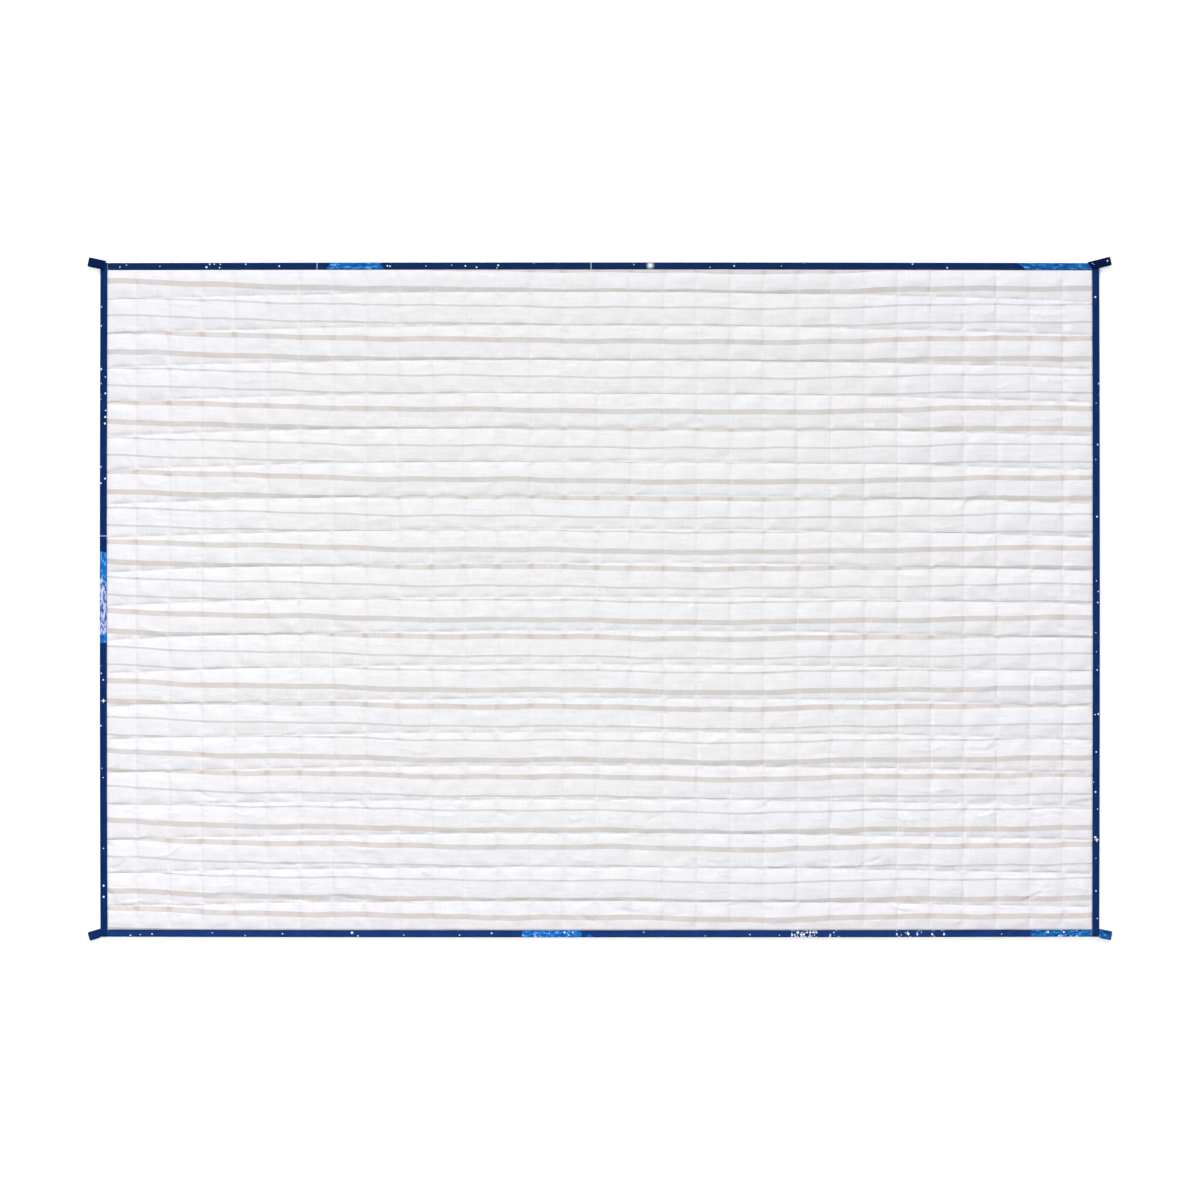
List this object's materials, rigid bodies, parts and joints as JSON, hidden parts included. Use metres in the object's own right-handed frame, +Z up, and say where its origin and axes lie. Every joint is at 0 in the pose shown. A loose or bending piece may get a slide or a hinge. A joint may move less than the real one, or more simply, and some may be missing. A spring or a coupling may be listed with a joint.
{
  "type": "weighted blanket",
  "caption": "Quilted weighted blanket lying flat: a striped cotton panel of square filled pockets with folded blue binding round its edge and a tape loop at each corner.",
  "frame": {"origin": "middle of the blanket, on the surface it lies on", "axes": "+X along the blanket's length, towards the picture's right; +Y across its width, towards the picture's top; +Z up, out of the face with the stripes"},
  "size_m": [1.5604, 1.0441, 0.0093],
  "materials": {
    "striped_cotton": "matt plain-weave cotton, white with pale grey stripes",
    "binding_tape": "matt printed cotton tape, navy with small white specks"
  },
  "bodies": {
    "root": {"quilted_panel": "striped_cotton", "binding_top": "binding_tape", "binding_bottom": "binding_tape", "binding_left": "binding_tape", "binding_right": "binding_tape", "loop_top_left": "binding_tape", "loop_top_right": "binding_tape", "loop_bottom_left": "binding_tape", "loop_bottom_right": "binding_tape"}
  },
  "joints": []
}
